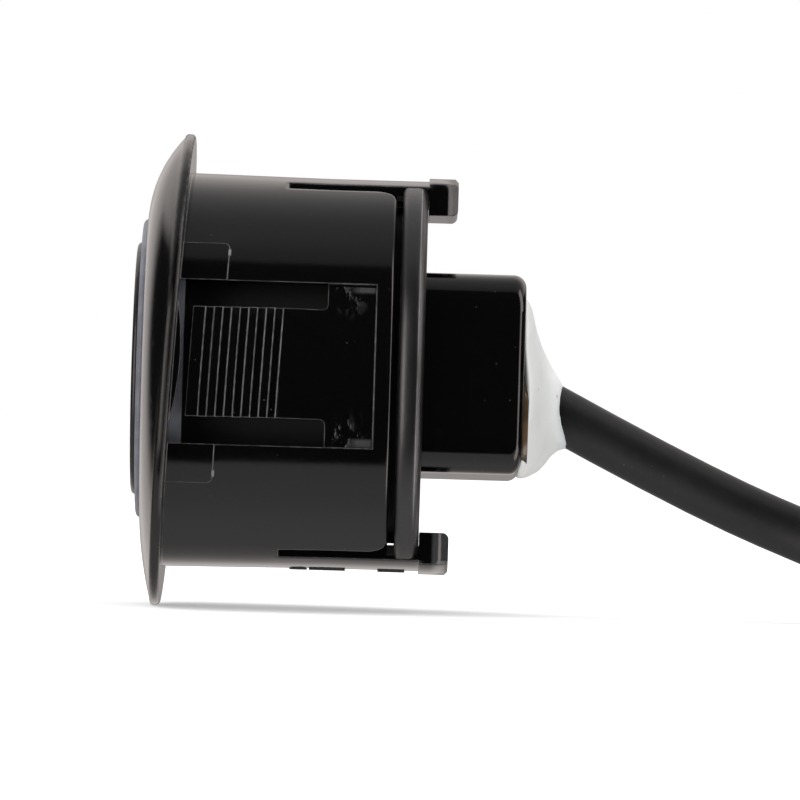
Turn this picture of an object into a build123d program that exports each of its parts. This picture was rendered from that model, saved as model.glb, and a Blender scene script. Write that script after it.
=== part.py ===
from build123d import *
import os
from math import asin, atan2, cos, pi, radians, sin, sqrt, tan

os.makedirs("parts", exist_ok=True)

# Ultrasonic parking sensor in a leaning snap-in bezel, with its cable. Millimetres.
# The origin is where the body axis meets the back of the flange. +X runs along the body
# to the cable, +Z is up, and the sensor's face looks along -X.

# How it lies
clock = 2.5  # roll of the whole sensor about its axis, degrees
lean = 2.75  # the flange's back leans this much behind at the top, degrees

# Bezel
flange_radius = 13.1
flange_depth = 1.86
rim_depth = 0.56
rim_round = 0.2
crown_start = 7.6  # radius where the face begins to fall away
crown_power = 2.3
crown_steps = 6
barrel_radius = 10.93
barrel_tail_radius = 10.82
barrel_length = 11.9
barrel_wall = 1.46
barrel_edge_round = 0.25
barrel_corner = 1.2  # at the rear beside each snap arm
mouth_radius = 8.35
mouth_round = 0.15
seat_inset = 0.6  # depth of the silicone ring's seat in front of the flange's back

# Windows and spring clips
window_height = 8.95
window_end = 10.95
lip_height = 6.7
lip_depth = 0.37
clip_height = 6.0
clip_tip = 0.85
clip_peak_at = 5.76
clip_root = 8.3
clip_tip_radius = 10.8
clip_peak_radius = 11.46
clip_thickness = 1.0
clip_corner = 0.3
clip_root_sink = 0.12
rib_count = 5
rib_pitch = 0.945
rib_width = 0.48
rib_height = 0.3
first_rib = 1.05

# Raised pads beside the windows
pad_span = 13.1
pad_depth = 2.55
pad_height = 0.12
pad_corner = 0.3

# Snap arms
arm_width = 6.6
arm_slot = 1.0
arm_slot_start = 5.9
arm_flat = 9.5  # from the axis to the arm's flat inner face
hook_gap = 0.03  # between the keeper ring and the hooks
hook_length = 1.62
hook_drop = 0.75
hook_step = 0.17
hook_round = 0.35
gate_radius = 0.5
gate_at = 7.0
mark_height = 0.1
mark_width = 0.8
marks = ((7.6, 2.0), (11.4, 1.5))  # start and length of the low marks under the arm

# Sensor face and its silicone ring
housing_gap = 0.15  # radial clearance of the sensor in the bezel
cup_radius = 7.0
cup_front = -2.4
cup_length = 8.6
cup_wall = 0.8
cup_edge_round = 0.25
cup_rim_height = 0.45
cup_rim_depth = 0.8
ring_front = -2.1
ring_gap = 0.05
ring_edge_round = 0.3
collar_back = 0.475

# Sensor housing
housing_wall = 1.3
housing_floor_at = 6.9
housing_floor = 1.0
shoulder_gap = 0.35  # from the barrel's end to the housing's shoulder
box_length = 6.9
box_height = 11.0
box_width = 14.0
box_corner = 2.1
box_wall = 1.2
box_end_round = 0.7
ledge_width = 0.8
ledge_height = 0.8
ledge_length = 8.0

# Keeper ring between the housing and the snap arms
keeper_radius = 10.8
keeper_bore = 8.35
keeper_depth = 1.38
keeper_front_round = 0.25
keeper_back_round = 0.5
notch_gap = 0.1

# Parts inside the sensor
piezo_radius = 3.6
piezo_depth = 0.35
damper_radius = 5.2
damper_depth = 2.4
filler_end = 5.6
lead_radius = 0.15
lead_hole_gap = 0.05
pin_spacing = 2.4
pin_size = 0.64
pin_start = 6.2
pin_length = 4.2
board_start = 8.4
board_length = 9.4
board_gap = 0.1
board_depth = 1.0
board_underside = -1.9
core_length = 5.2
core_width = 5.6
core_height = 4.4
core_bar = 0.9
core_at = 13.6
winding_gap = 0.1
winding_bulge = 0.35
chip_length = 4.9
chip_width = 3.9
chip_depth = 1.3
chip_standoff = 0.15
chip_at = 12.6
leg_count = 4
leg_pitch = 1.27
leg_width = 0.4
leg_metal = 0.2
leg_reach = 0.9
small_part_length = 1.6
small_part_width = 0.8
capacitor_height = 0.8
resistor_height = 0.5
small_part_first = 9.6
small_part_pitch = 2.6
small_part_offset = 4.2
small_part_count = 3
resin_depth = 1.15
resin_lip = 0.3
resin_lip_height = 5.5
resin_lip_width = 12.2
resin_lip_centre = -2.45

# Cable and the sealant round its exit
cable_diameter = 3.0
wire_radius = 0.5
wire_spacing = 1.3
wire_inset = 2.25  # where the wires begin, in front of the housing's end
wire_bend = 1.5
seal_end_radius = 1.85
seal_sections = [  # distance behind the housing, top, bottom and width
    (0, 4.65, -5.5, 11.0),
    (0.45, 3.45, -5.4, 9.2),
    (1.15, 1.4, -4.9, 6.6),
    (1.8, 0.4, -4.15, 4.8),
]
cable_drop = [  # distance behind the housing and height, as the cable comes down
    (2.31, -2.01),
    (9.85, -5.75),
    (17.85, -9.0),
]

# Coil of the cable that isn't laid out, with its tie and plug
coil_distance = 26.85  # from the housing's end
coil_outer_radius = 23.5
coil_inner_radius = 10.5
coil_rows = 6
coil_round = 1.4
top_turn_width = 6.3
tie_width = 3.0
tie_depth = 0.5
tie_angle = 320
plug_length = 14.0
plug_width = 7.4
plug_height = 5.2
plug_round = 0.5
plug_radius = 12.0  # distance of the plug's middle from the coil's centre
plug_angle = 60
socket_size = 2.3
socket_depth = 7.0
socket_spacing = 3.2
contact_size = 0.64
contact_reach = 5.0
boot_radius = 2.1
boot_length = 2.5
latch_length = 5.5
latch_width = 3.0
latch_height = 0.9

# Directions and planes of the rolled body
up = Vector(0, sin(radians(clock)), cos(radians(clock)))
near = Vector(0, -cos(radians(clock)), sin(radians(clock)))
side = Plane(origin=(0, 0, 0), x_dir=(1, 0, 0), z_dir=near)
plan = Plane(origin=(0, 0, 0), x_dir=(1, 0, 0), z_dir=up)
near_axis = Axis((0, 0, 0), near)
lean_shift = tan(radians(lean))


def station(x):
    """Plane across the body axis; its x runs up and its y to the near side."""
    return Plane(origin=(x, 0, 0), x_dir=up, z_dir=(1, 0, 0))


def leaning(x, angle):
    """Plane across the body axis at x that leans back at the top by angle."""
    along = Vector(1, 0, 0) * cos(radians(angle)) - up * sin(radians(angle))
    upward = Vector(1, 0, 0) * sin(radians(angle)) + up * cos(radians(angle))
    return Plane(origin=(x, 0, 0), x_dir=upward, z_dir=along)


bore_radius = barrel_radius - barrel_wall
shoulder_at = barrel_length + shoulder_gap
hook_start = shoulder_at + keeper_depth + hook_gap
arm_end = hook_start + hook_length
box_end = shoulder_at + box_length
floor_height = -flange_radius  # the flange's rim and the cable lie on this
back_plane = leaning(0, lean)
beyond = 1.2 * flange_radius  # clear of the body's outside
bulge = 1 - sqrt(0.5)  # of a quarter round of radius one, at its middle

# Flange: falls away from the sensor's face to a thin leaning rim
with BuildPart() as flange:
    for k in range(crown_steps + 1):
        share = k / crown_steps
        fall = share**crown_power
        drop = fall * (flange_depth - rim_depth)
        with BuildSketch(leaning(drop - flange_depth, fall * lean)):
            Circle(crown_start + share * (flange_radius - rim_round - crown_start))
    loft()
with BuildPart() as rim:
    with BuildSketch(leaning(-rim_depth, lean)):
        Circle(flange_radius)
    extrude(amount=rim_depth * cos(radians(lean)))
    fillet(rim.edges().filter_by(GeomType.CIRCLE), rim_round)

# Raised pads, cut back behind by a leaning plane
with BuildPart() as pads:
    with BuildSketch(station(-seat_inset)):
        Circle(barrel_radius + pad_height)
        Circle(bore_radius + barrel_wall / 3, mode=Mode.SUBTRACT)
        Rectangle(pad_span, 4 * barrel_radius, mode=Mode.INTERSECT)
    extrude(amount=seat_inset + 2 * pad_depth)
    split(bisect_by=back_plane.offset(pad_depth), keep=Keep.BOTTOM)
    rear_corners = pads.edges().filter_by(near_axis)
    fillet(rear_corners.filter_by_position(Axis.X, pad_depth / 2, 2 * pad_depth), pad_corner)

# Spring clips: a ramp of revolution, trimmed to the clips' outline on both sides
half_clip, half_window = clip_height / 2, window_height / 2
root_radius = barrel_tail_radius - clip_root_sink
with BuildPart() as clips:
    with BuildSketch(side):
        Polygon(
            (0, clip_tip_radius),
            (clip_peak_at, clip_peak_radius),
            (clip_root, root_radius),
            (window_end, root_radius),
            (window_end, bore_radius),
            (clip_root, bore_radius),
            (clip_peak_at, clip_peak_radius - clip_thickness),
            (0, clip_tip_radius - clip_thickness),
        )
    revolve(axis=Axis.X)
    with BuildSketch(side):
        Polygon(
            (clip_tip + half_clip * lean_shift, half_clip),
            (clip_root, half_clip),
            (clip_root, half_window),
            (window_end, half_window),
            (window_end, -half_window),
            (clip_root, -half_window),
            (clip_root, -half_clip),
            (clip_tip - half_clip * lean_shift, -half_clip),
        )
        root_corners = vertices().filter_by_position(Axis.X, clip_root - 0.1, clip_root + 0.1)
        fillet(root_corners.sort_by(Axis.Y)[1:3], clip_corner)
    extrude(amount=beyond, both=True, mode=Mode.INTERSECT)

# What is left out between the clips' ribs
with BuildPart() as grooves:
    with BuildSketch(side):
        for k in range(rib_count):
            start = first_rib + k * rib_pitch + rib_width
            end = first_rib + (k + 1) * rib_pitch if k < rib_count - 1 else clip_peak_at
            Polygon(
                (start + half_window * lean_shift, half_window),
                (end + half_window * lean_shift, half_window),
                (end - half_window * lean_shift, -half_window),
                (start - half_window * lean_shift, -half_window),
            )
    extrude(amount=beyond, both=True)
    with BuildSketch(side):
        Polygon(
            (0, clip_tip_radius - rib_height),
            (clip_peak_at, clip_peak_radius - rib_height),
            (window_end, clip_peak_radius - rib_height),
            (window_end, beyond),
            (0, beyond),
        )
    revolve(axis=Axis.X, mode=Mode.INTERSECT)

# Snap arms with their hooks, at the top and the bottom
arm_root = barrel_length - barrel_wall
hook_tip = arm_flat - hook_drop
hook_radius = barrel_tail_radius + hook_step
with BuildPart() as arms:
    with BuildSketch(side):
        Polygon(
            (arm_root, arm_flat),
            (hook_start, arm_flat),
            (hook_start, hook_tip),
            (arm_end, hook_tip),
            (arm_end, beyond),
            (arm_root, beyond),
        )
        fillet(vertices().group_by(Axis.X)[-1].sort_by(Axis.Y)[0], hook_round)
        mirror(about=Plane.XZ)
    extrude(amount=arm_width / 2, both=True)
    with BuildSketch(side):
        Polygon(
            (0, 0),
            (arm_end, 0),
            (arm_end, hook_radius - hook_round / 2),
            (arm_end - hook_round / 2, hook_radius),
            (hook_start, hook_radius),
            (hook_start, barrel_tail_radius),
            (0, barrel_tail_radius),
        )
    revolve(axis=Axis.X, mode=Mode.INTERSECT)

# Bezel: flange, barrel, windows, clips and arms in one moulding
with BuildPart() as bezel:
    with BuildSketch(side):
        Polygon(
            (-seat_inset, 0),
            (-seat_inset, barrel_radius),
            (0, barrel_radius),
            (clip_root, barrel_tail_radius),
            (barrel_length, barrel_tail_radius),
            (barrel_length, 0),
        )
    revolve(axis=Axis.X)
    fillet(bezel.edges().filter_by(GeomType.CIRCLE).sort_by(Axis.X)[-1], barrel_edge_round)
    add(pads.part)
    with BuildSketch(side):
        half_lip = lip_height / 2
        with BuildLine():
            Line((half_window * lean_shift, half_window), (half_lip * lean_shift, half_lip))
            ThreePointArc(
                (half_lip * lean_shift, half_lip),
                (lip_depth, 0),
                (-half_lip * lean_shift, -half_lip),
            )
            Polyline(
                (-half_lip * lean_shift, -half_lip),
                (-half_window * lean_shift, -half_window),
                (window_end, -half_window),
                (window_end, half_window),
                (half_window * lean_shift, half_window),
            )
        make_face()
    extrude(amount=beyond, both=True, mode=Mode.SUBTRACT)
    with BuildSketch(plan):
        inner, outer = arm_width / 2, arm_width / 2 + arm_slot
        corner_start, slot_end = barrel_length - barrel_corner, barrel_length + rim_depth
        with BuildLine():
            Polyline((corner_start, outer), (arm_slot_start, outer), (arm_slot_start, inner))
            Polyline((arm_slot_start, inner), (slot_end, inner), (slot_end, outer + barrel_corner))
            Line((slot_end, outer + barrel_corner), (barrel_length, outer + barrel_corner))
            ThreePointArc(
                (barrel_length, outer + barrel_corner),
                (barrel_length - barrel_corner * bulge, outer + barrel_corner * bulge),
                (corner_start, outer),
            )
        make_face()
        mirror(about=Plane.XZ)
    extrude(amount=beyond, both=True, mode=Mode.SUBTRACT)
    add(flange.part)
    add(rim.part)
    with BuildSketch(station(-2 * flange_depth)):
        Circle(mouth_radius)
    extrude(amount=3 * flange_depth, mode=Mode.SUBTRACT)
    with BuildSketch(station(-seat_inset)):
        Circle(bore_radius)
    extrude(amount=2 * barrel_length, mode=Mode.SUBTRACT)
    with BuildSketch(side):
        Polygon(
            (-flange_depth + mouth_round, mouth_radius),
            (-2 * flange_depth, mouth_radius + flange_depth + mouth_round),
            (-2 * flange_depth, mouth_radius),
        )
    revolve(axis=Axis.X, mode=Mode.SUBTRACT)
    add(arms.part)
    add(clips.part)
    add(grooves.part, mode=Mode.SUBTRACT)
    with BuildSketch(plan.offset(-barrel_tail_radius - mark_height)):
        with Locations((gate_at, 0)):
            Circle(gate_radius)
        for start, length in marks:
            with Locations((start + length / 2, 0)):
                Rectangle(length, mark_width)
    extrude(amount=barrel_wall / 2)
bezel.part.label = "bezel"
export_step(bezel.part, "parts/bezel.step")

# Silicone ring that holds the sensing cup clear of the bezel and the housing
housing_radius = bore_radius - housing_gap
housing_bore = housing_radius - housing_wall
cup_back = cup_front + cup_length
sleeve_back = cup_back - cup_rim_depth
with BuildPart() as silicone_ring:
    with BuildSketch(side):
        Polygon(
            (ring_front, cup_radius),
            (ring_front, mouth_radius - ring_gap),
            (-seat_inset, mouth_radius - ring_gap),
            (-seat_inset, housing_radius),
            (collar_back, housing_radius),
            (collar_back, housing_bore),
            (sleeve_back, housing_bore),
            (sleeve_back, cup_radius),
        )
        fillet(vertices().group_by(Axis.X)[0].sort_by(Axis.Y)[-1], ring_edge_round)
    revolve(axis=Axis.X)
silicone_ring.part.label = "silicone_ring"
export_step(silicone_ring.part, "parts/silicone_ring.step")

# Sensing cup: a thin-walled aluminium pot whose closed end is the sensor's face
with BuildPart() as sensing_cup:
    with BuildSketch(side):
        Polygon(
            (cup_front, 0),
            (cup_front, cup_radius),
            (sleeve_back, cup_radius),
            (sleeve_back, cup_radius + cup_rim_height),
            (cup_back, cup_radius + cup_rim_height),
            (cup_back, cup_radius - cup_wall),
            (cup_front + cup_wall, cup_radius - cup_wall),
            (cup_front + cup_wall, 0),
        )
        fillet(vertices().group_by(Axis.X)[0].sort_by(Axis.Y)[-1], cup_edge_round)
    revolve(axis=Axis.X)
sensing_cup.part.label = "sensing_cup"
export_step(sensing_cup.part, "parts/sensing_cup.step")

# Piezo disc glued inside the cup's closed end
piezo_front = cup_front + cup_wall
with BuildPart() as piezo_disc:
    with BuildSketch(station(piezo_front)):
        Circle(piezo_radius)
    extrude(amount=piezo_depth)
piezo_disc.part.label = "piezo_disc"
export_step(piezo_disc.part, "parts/piezo_disc.step")

# Two leads from the piezo disc to the contact pins, over the board
board_top = board_underside + board_depth
pin_height = board_top + pin_size / 2
damper_front = piezo_front + piezo_depth
lead_places = [(pin_height, pin_spacing / 2), (pin_height, -pin_spacing / 2)]
with BuildPart() as piezo_leads:
    with BuildSketch(station(damper_front)):
        with Locations(*lead_places):
            Circle(lead_radius)
    extrude(amount=pin_start - damper_front)
piezo_leads.part.label = "piezo_leads"
export_step(piezo_leads.part, "parts/piezo_leads.step")

# Cork disc that soaks up the sound behind the piezo, then silicone filling the cup
damper_back = damper_front + damper_depth
with BuildPart() as damping_disc:
    with BuildSketch(station(damper_front)):
        Circle(damper_radius)
        with Locations(*lead_places):
            Circle(lead_radius + lead_hole_gap, mode=Mode.SUBTRACT)
    extrude(amount=damper_depth)
damping_disc.part.label = "damping_disc"
export_step(damping_disc.part, "parts/damping_disc.step")

with BuildPart() as cup_filling:
    with BuildSketch(station(damper_back)):
        Circle(cup_radius - cup_wall)
        with Locations(*lead_places):
            Circle(lead_radius + lead_hole_gap, mode=Mode.SUBTRACT)
    extrude(amount=filler_end - damper_back)
cup_filling.part.label = "cup_filling"
export_step(cup_filling.part, "parts/cup_filling.step")

# Sensor housing: round front, shoulder, and an open-backed box for the board
cavity_height = box_height - 2 * box_wall
cavity_width = box_width - 2 * box_wall
cavity_start = housing_floor_at + housing_floor
with BuildPart() as sensor_housing:
    with BuildSketch(station(collar_back)):
        Circle(housing_radius)
    extrude(amount=shoulder_at - collar_back)
    with BuildSketch(station(cavity_start)):
        RectangleRounded(box_height, box_width, box_corner)
    extrude(amount=box_end - cavity_start)
    fillet(sensor_housing.faces().sort_by(Axis.X)[-1].edges(), box_end_round)
    with BuildSketch(station(collar_back)):
        Circle(housing_bore)
    extrude(amount=housing_floor_at - collar_back, mode=Mode.SUBTRACT)
    with BuildSketch(station(cavity_start)):
        RectangleRounded(cavity_height, cavity_width, box_corner - box_wall)
    extrude(amount=box_end, mode=Mode.SUBTRACT)
    with BuildSketch(station(housing_floor_at)):
        with Locations(*lead_places):
            Rectangle(pin_size, pin_size)
    extrude(amount=housing_floor, mode=Mode.SUBTRACT)
    with BuildSketch(station(cavity_start)):
        ledge_place = cavity_width / 2
        ledge_middle = board_underside - ledge_height / 2
        with Locations((ledge_middle, ledge_place), (ledge_middle, -ledge_place)):
            Rectangle(ledge_height, 2 * ledge_width)
    extrude(amount=ledge_length)
sensor_housing.part.label = "sensor_housing"
export_step(sensor_housing.part, "parts/sensor_housing.step")

# Keeper ring, notched for the arms that hold it against the housing's shoulder
with BuildPart() as keeper_ring:
    with BuildSketch(side):
        Polygon(
            (shoulder_at, keeper_bore),
            (shoulder_at, keeper_radius),
            (shoulder_at + keeper_depth, keeper_radius),
            (shoulder_at + keeper_depth, keeper_bore),
        )
        fillet(vertices().group_by(Axis.X)[0].sort_by(Axis.Y)[-1], keeper_front_round)
        fillet(vertices().group_by(Axis.X)[-1].sort_by(Axis.Y)[-1], keeper_back_round)
    revolve(axis=Axis.X)
    with BuildSketch(station(shoulder_at)):
        notch_floor = arm_flat - notch_gap
        notch_depth = 2 * (keeper_radius - notch_floor)
        with Locations((notch_floor + notch_depth / 2, 0), (-notch_floor - notch_depth / 2, 0)):
            Rectangle(notch_depth, arm_width + 2 * notch_gap)
    extrude(amount=keeper_depth, mode=Mode.SUBTRACT)
keeper_ring.part.label = "keeper_ring"
export_step(keeper_ring.part, "parts/keeper_ring.step")

# Contact pins through the housing's floor, lying on the board
with BuildPart() as contact_pins:
    with BuildSketch(station(pin_start)):
        with Locations(*lead_places):
            Rectangle(pin_size, pin_size)
    extrude(amount=pin_length)
contact_pins.part.label = "contact_pins"
export_step(contact_pins.part, "parts/contact_pins.step")

# Circuit board on the ledges, and what is soldered to it
board_width = cavity_width - 2 * board_gap
with BuildPart() as circuit_board:
    with BuildSketch(plan.offset(board_underside)):
        with Locations((board_start + board_length / 2, 0)):
            Rectangle(board_length, board_width)
    extrude(amount=board_depth)
circuit_board.part.label = "circuit_board"
export_step(circuit_board.part, "parts/circuit_board.step")

with BuildPart() as transformer_core:
    with BuildSketch(station(core_at - core_length / 2)):
        with Locations((board_top + core_height / 2, 0)):
            Rectangle(core_height, core_width)
        window_width = (core_width - 4 * core_bar) / 2
        window_middle = core_bar + window_width / 2
        with Locations(
            (board_top + core_height / 2, window_middle),
            (board_top + core_height / 2, -window_middle),
        ):
            Rectangle(core_height - 2 * core_bar, window_width, mode=Mode.SUBTRACT)
    extrude(amount=core_length)
transformer_core.part.label = "transformer_core"
export_step(transformer_core.part, "parts/transformer_core.step")

with BuildPart() as transformer_winding:
    with BuildSketch(plan.offset(board_top + core_bar + winding_gap)):
        with Locations((core_at, 0)):
            post = 2 * (core_bar + winding_gap)
            length = core_length + 2 * winding_bulge
            RectangleRounded(length, post + 2 * (window_width - 2 * winding_gap), winding_bulge)
            Rectangle(core_length + winding_gap, post, mode=Mode.SUBTRACT)
    extrude(amount=core_height - 2 * core_bar - 2 * winding_gap)
transformer_winding.part.label = "transformer_winding"
export_step(transformer_winding.part, "parts/transformer_winding.step")

chip_top = board_underside - chip_standoff
with BuildPart() as driver_chip:
    with BuildSketch(plan.offset(chip_top - chip_depth)):
        with Locations((chip_at, 0)):
            Rectangle(chip_length, chip_width)
    extrude(amount=chip_depth)
driver_chip.part.label = "driver_chip"
export_step(driver_chip.part, "parts/driver_chip.step")

# Gull-wing legs on both long sides of the chip
with BuildPart() as chip_legs:
    for k in range(leg_count):
        place = chip_at + (k - (leg_count - 1) / 2) * leg_pitch
        middle = chip_top - chip_depth / 2
        with BuildSketch(station(place - leg_width / 2)):
            foot = board_underside
            Polygon(
                (middle, chip_width / 2),
                (middle, chip_width / 2 + leg_reach / 2 + leg_metal),
                (foot - leg_metal, chip_width / 2 + leg_reach / 2 + leg_metal),
                (foot - leg_metal, chip_width / 2 + leg_reach),
                (foot, chip_width / 2 + leg_reach),
                (foot, chip_width / 2 + leg_reach / 2),
                (middle + leg_metal, chip_width / 2 + leg_reach / 2),
                (middle + leg_metal, chip_width / 2),
            )
            mirror(about=Plane.XZ)
        extrude(amount=leg_width)
chip_legs.part.label = "chip_legs"
export_step(chip_legs.part, "parts/chip_legs.step")

small_places = [small_part_first + k * small_part_pitch for k in range(small_part_count)]
with BuildPart() as capacitors:
    with BuildSketch(plan.offset(board_top)):
        with Locations(*[(x, small_part_offset) for x in small_places]):
            Rectangle(small_part_length, small_part_width)
    extrude(amount=capacitor_height)
capacitors.part.label = "capacitors"
export_step(capacitors.part, "parts/capacitors.step")

with BuildPart() as resistors:
    with BuildSketch(plan.offset(board_top)):
        with Locations(*[(x, -small_part_offset) for x in small_places]):
            Rectangle(small_part_length, small_part_width)
    extrude(amount=resistor_height)
resistors.part.label = "resistors"
export_step(resistors.part, "parts/resistors.step")

# Two insulated wires from the board's end to the cable
descent = [Vector(box_end + back, 0, height) for back, height in cable_drop]
exit_point = descent[0]
exit_way = (descent[1] - exit_point).normalized()
wire_height = board_top + wire_radius
bend_point = exit_point + exit_way * ((wire_height - exit_point.Z) / exit_way.Z)
with BuildPart() as core_wires:
    for across in (Vector(0, wire_spacing / 2, 0), Vector(0, -wire_spacing / 2, 0)):
        with BuildLine():
            path = FilletPolyline(
                Vector(box_end - wire_inset, 0, wire_height) + across,
                bend_point + across,
                exit_point + across,
                radius=wire_bend,
            )
        with BuildSketch(Plane(origin=path @ 0, z_dir=path % 0)):
            Circle(wire_radius)
        sweep(path=path)
core_wires.part.label = "core_wires"
export_step(core_wires.part, "parts/core_wires.step")

# Amber resin that closes the box and stands a little over its lower edge
with BuildPart() as potting_resin:
    with BuildSketch(station(box_end - resin_depth)):
        RectangleRounded(cavity_height, cavity_width, box_corner - box_wall)
    extrude(amount=resin_depth)
    with BuildSketch(station(box_end)):
        with Locations((resin_lip_centre, 0)):
            RectangleRounded(resin_lip_height, resin_lip_width, box_corner)
    extrude(amount=resin_lip, taper=30)
    add(core_wires.part, mode=Mode.SUBTRACT)
potting_resin.part.label = "potting_resin"
export_step(potting_resin.part, "parts/potting_resin.step")

# White sealant, drawn out from the box's back to the cable
with BuildPart() as cable_seal:
    for back, top, bottom, width in seal_sections:
        spot = (box_end + back, 0, (top + bottom) / 2)
        middle = Plane(origin=spot, x_dir=(0, 0, 1), z_dir=(1, 0, 0))
        with BuildSketch(middle):
            Ellipse((top - bottom) / 2, width / 2)
    with BuildSketch(Plane(origin=exit_point, x_dir=(0, -1, 0), z_dir=exit_way)):
        Circle(seal_end_radius)
    loft()
    add(potting_resin.part, mode=Mode.SUBTRACT)
    add(core_wires.part, mode=Mode.SUBTRACT)
cable_seal.part.label = "cable_seal"
export_step(cable_seal.part, "parts/cable_seal.step")


def route_radii(points):
    """The largest arc that the two runs at each corner leave room for."""
    radii = []
    for before, at, after in zip(points, points[1:], points[2:]):
        turn = radians((at - before).get_angle(after - at))
        shorter = min((at - before).length, (after - at).length)
        radii.append(0.45 * shorter / tan(turn / 2))
    return radii


# The cable comes down to the floor and runs on to touch the coil's outer turn
coil_centre = Vector(
    box_end + coil_distance + coil_outer_radius, coil_outer_radius - flange_radius, floor_height
)
lay_height = floor_height + cable_diameter / 2
turn_radius = coil_outer_radius - cable_diameter / 2
away = Vector(coil_centre.X - descent[-1].X, coil_centre.Y, 0)
heading = atan2(away.Y, away.X) - asin(turn_radius / away.length)
coil_way = Vector(cos(heading), sin(heading), 0)
lead_length = sqrt((coil_outer_radius + cable_diameter / 2) ** 2 - turn_radius**2)
lead_start = Vector(descent[-1].X, 0, lay_height) + coil_way * (
    sqrt(away.length**2 - turn_radius**2) - lead_length
)
landing = Vector((descent[-1].X + lead_start.X) / 2, lead_start.Y / 2, lay_height)

# Cable along the stretch that is laid out
route = [*descent, landing, lead_start]
print("cable route", [tuple(round(value, 3) for value in point) for point in route])
radii = route_radii(route)
print("cable radii", [round(radius, 1) for radius in radii])
with BuildPart() as cable:
    with BuildLine():
        path = FilletPolyline(*route, radius=radii)
    with BuildSketch(Plane(origin=path @ 0, z_dir=path % 0)):
        Circle(cable_diameter / 2)
    sweep(path=path)
section = pi * cable_diameter**2 / 4
print("cable volume", round(cable.part.volume, 3), "section times length", round(section * path.length, 3))
cable.part.label = "cable"
export_step(cable.part, "parts/cable.step")

# Outer shape of the coil: rows on the floor, one loose turn on top, and both cable ends
rows_height = coil_rows * cable_diameter
coil_height = rows_height + cable_diameter
top_inner_radius = coil_outer_radius - top_turn_width
plug_way = Vector(-sin(radians(plug_angle)), cos(radians(plug_angle)), 0)
plug_middle = coil_centre + Vector(0, 0, rows_height + plug_height / 2) + plug_radius * Vector(
    cos(radians(plug_angle)), sin(radians(plug_angle)), 0
)
plug_back = plug_middle - plug_way * (plug_length / 2)
tail_length = sqrt(top_inner_radius**2 - plug_radius**2) - plug_length / 2 + cable_diameter / 2
around_coil = Axis(coil_centre, (0, 0, 1))
coil_side = Plane(origin=coil_centre, x_dir=(1, 0, 0), z_dir=(0, -1, 0))
tie_plane = Plane(
    origin=coil_centre,
    x_dir=(cos(radians(tie_angle)), sin(radians(tie_angle)), 0),
    z_dir=(sin(radians(tie_angle)), -cos(radians(tie_angle)), 0),
)
tie_outline = [
    (coil_inner_radius, 0),
    (coil_outer_radius, 0),
    (coil_outer_radius, coil_height),
    (top_inner_radius, coil_height),
    (coil_inner_radius, rows_height),
]
with BuildPart() as tied:
    with BuildSketch(tie_plane):
        Polygon(*tie_outline)
        fillet(vertices(), coil_round)
        offset(amount=-tie_depth, mode=Mode.REPLACE)
    extrude(amount=tie_width / 2, both=True)
with BuildPart() as coil_tie:
    with BuildSketch(tie_plane):
        Polygon(*tie_outline)
        fillet(vertices(), coil_round)
    extrude(amount=tie_width / 2, both=True)
    add(tied.part, mode=Mode.SUBTRACT)
coil_tie.part.label = "coil_tie"
export_step(coil_tie.part, "parts/coil_tie.step")

with BuildPart() as tie_groove:
    with BuildSketch(tie_plane):
        with Locations(((coil_inner_radius + coil_outer_radius) / 2, coil_height / 2)):
            Rectangle(coil_outer_radius, 2 * coil_height)
    extrude(amount=tie_width / 2, both=True)
    add(tied.part, mode=Mode.SUBTRACT)
with BuildPart() as cable_coil:
    with BuildSketch(coil_side):
        with Locations(((coil_inner_radius + coil_outer_radius) / 2, rows_height / 2)):
            RectangleRounded(coil_outer_radius - coil_inner_radius, rows_height, coil_round)
        with Locations((coil_outer_radius - top_turn_width / 2, coil_height - cable_diameter)):
            RectangleRounded(top_turn_width, 2 * cable_diameter, coil_round)
    revolve(axis=around_coil)
    with BuildSketch(Plane(origin=lead_start, z_dir=coil_way)):
        Circle(cable_diameter / 2)
    extrude(amount=lead_length)
    with BuildSketch(Plane(origin=plug_back, z_dir=-plug_way)):
        Circle(cable_diameter / 2)
    extrude(amount=tail_length)
    add(tie_groove.part, mode=Mode.SUBTRACT)
cable_coil.part.label = "cable_coil"
export_step(cable_coil.part, "parts/cable_coil.step")

# Two-pole plug on the cable's end, resting on the coil
plug_plane = Plane(origin=plug_back, x_dir=(0, 0, 1), z_dir=plug_way)
plug_side = Plane(origin=plug_back, x_dir=plug_way, z_dir=plug_way.cross(Vector(0, 0, 1)))
sockets = [(0, socket_spacing / 2), (0, -socket_spacing / 2)]
with BuildPart() as plug_housing:
    with BuildSketch(plug_plane):
        RectangleRounded(plug_height, plug_width, plug_round)
    extrude(amount=plug_length)
    with BuildSketch(plug_plane.offset(plug_length - socket_depth)):
        with Locations(*sockets):
            Rectangle(socket_size, socket_size)
    extrude(amount=socket_depth, mode=Mode.SUBTRACT)
    with BuildSketch(plug_side):
        Polygon(
            (plug_length - latch_length, plug_height / 2 - plug_round),
            (plug_length - latch_length, plug_height / 2 + latch_height),
            (plug_length, plug_height / 2),
            (plug_length, plug_height / 2 - plug_round),
        )
    extrude(amount=latch_width / 2, both=True)
plug_housing.part.label = "plug_housing"
export_step(plug_housing.part, "parts/plug_housing.step")

with BuildPart() as plug_contacts:
    with BuildSketch(plug_plane.offset(plug_length - socket_depth)):
        with Locations(*sockets):
            Rectangle(contact_size, contact_size)
    extrude(amount=contact_reach)
plug_contacts.part.label = "plug_contacts"
export_step(plug_contacts.part, "parts/plug_contacts.step")

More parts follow.
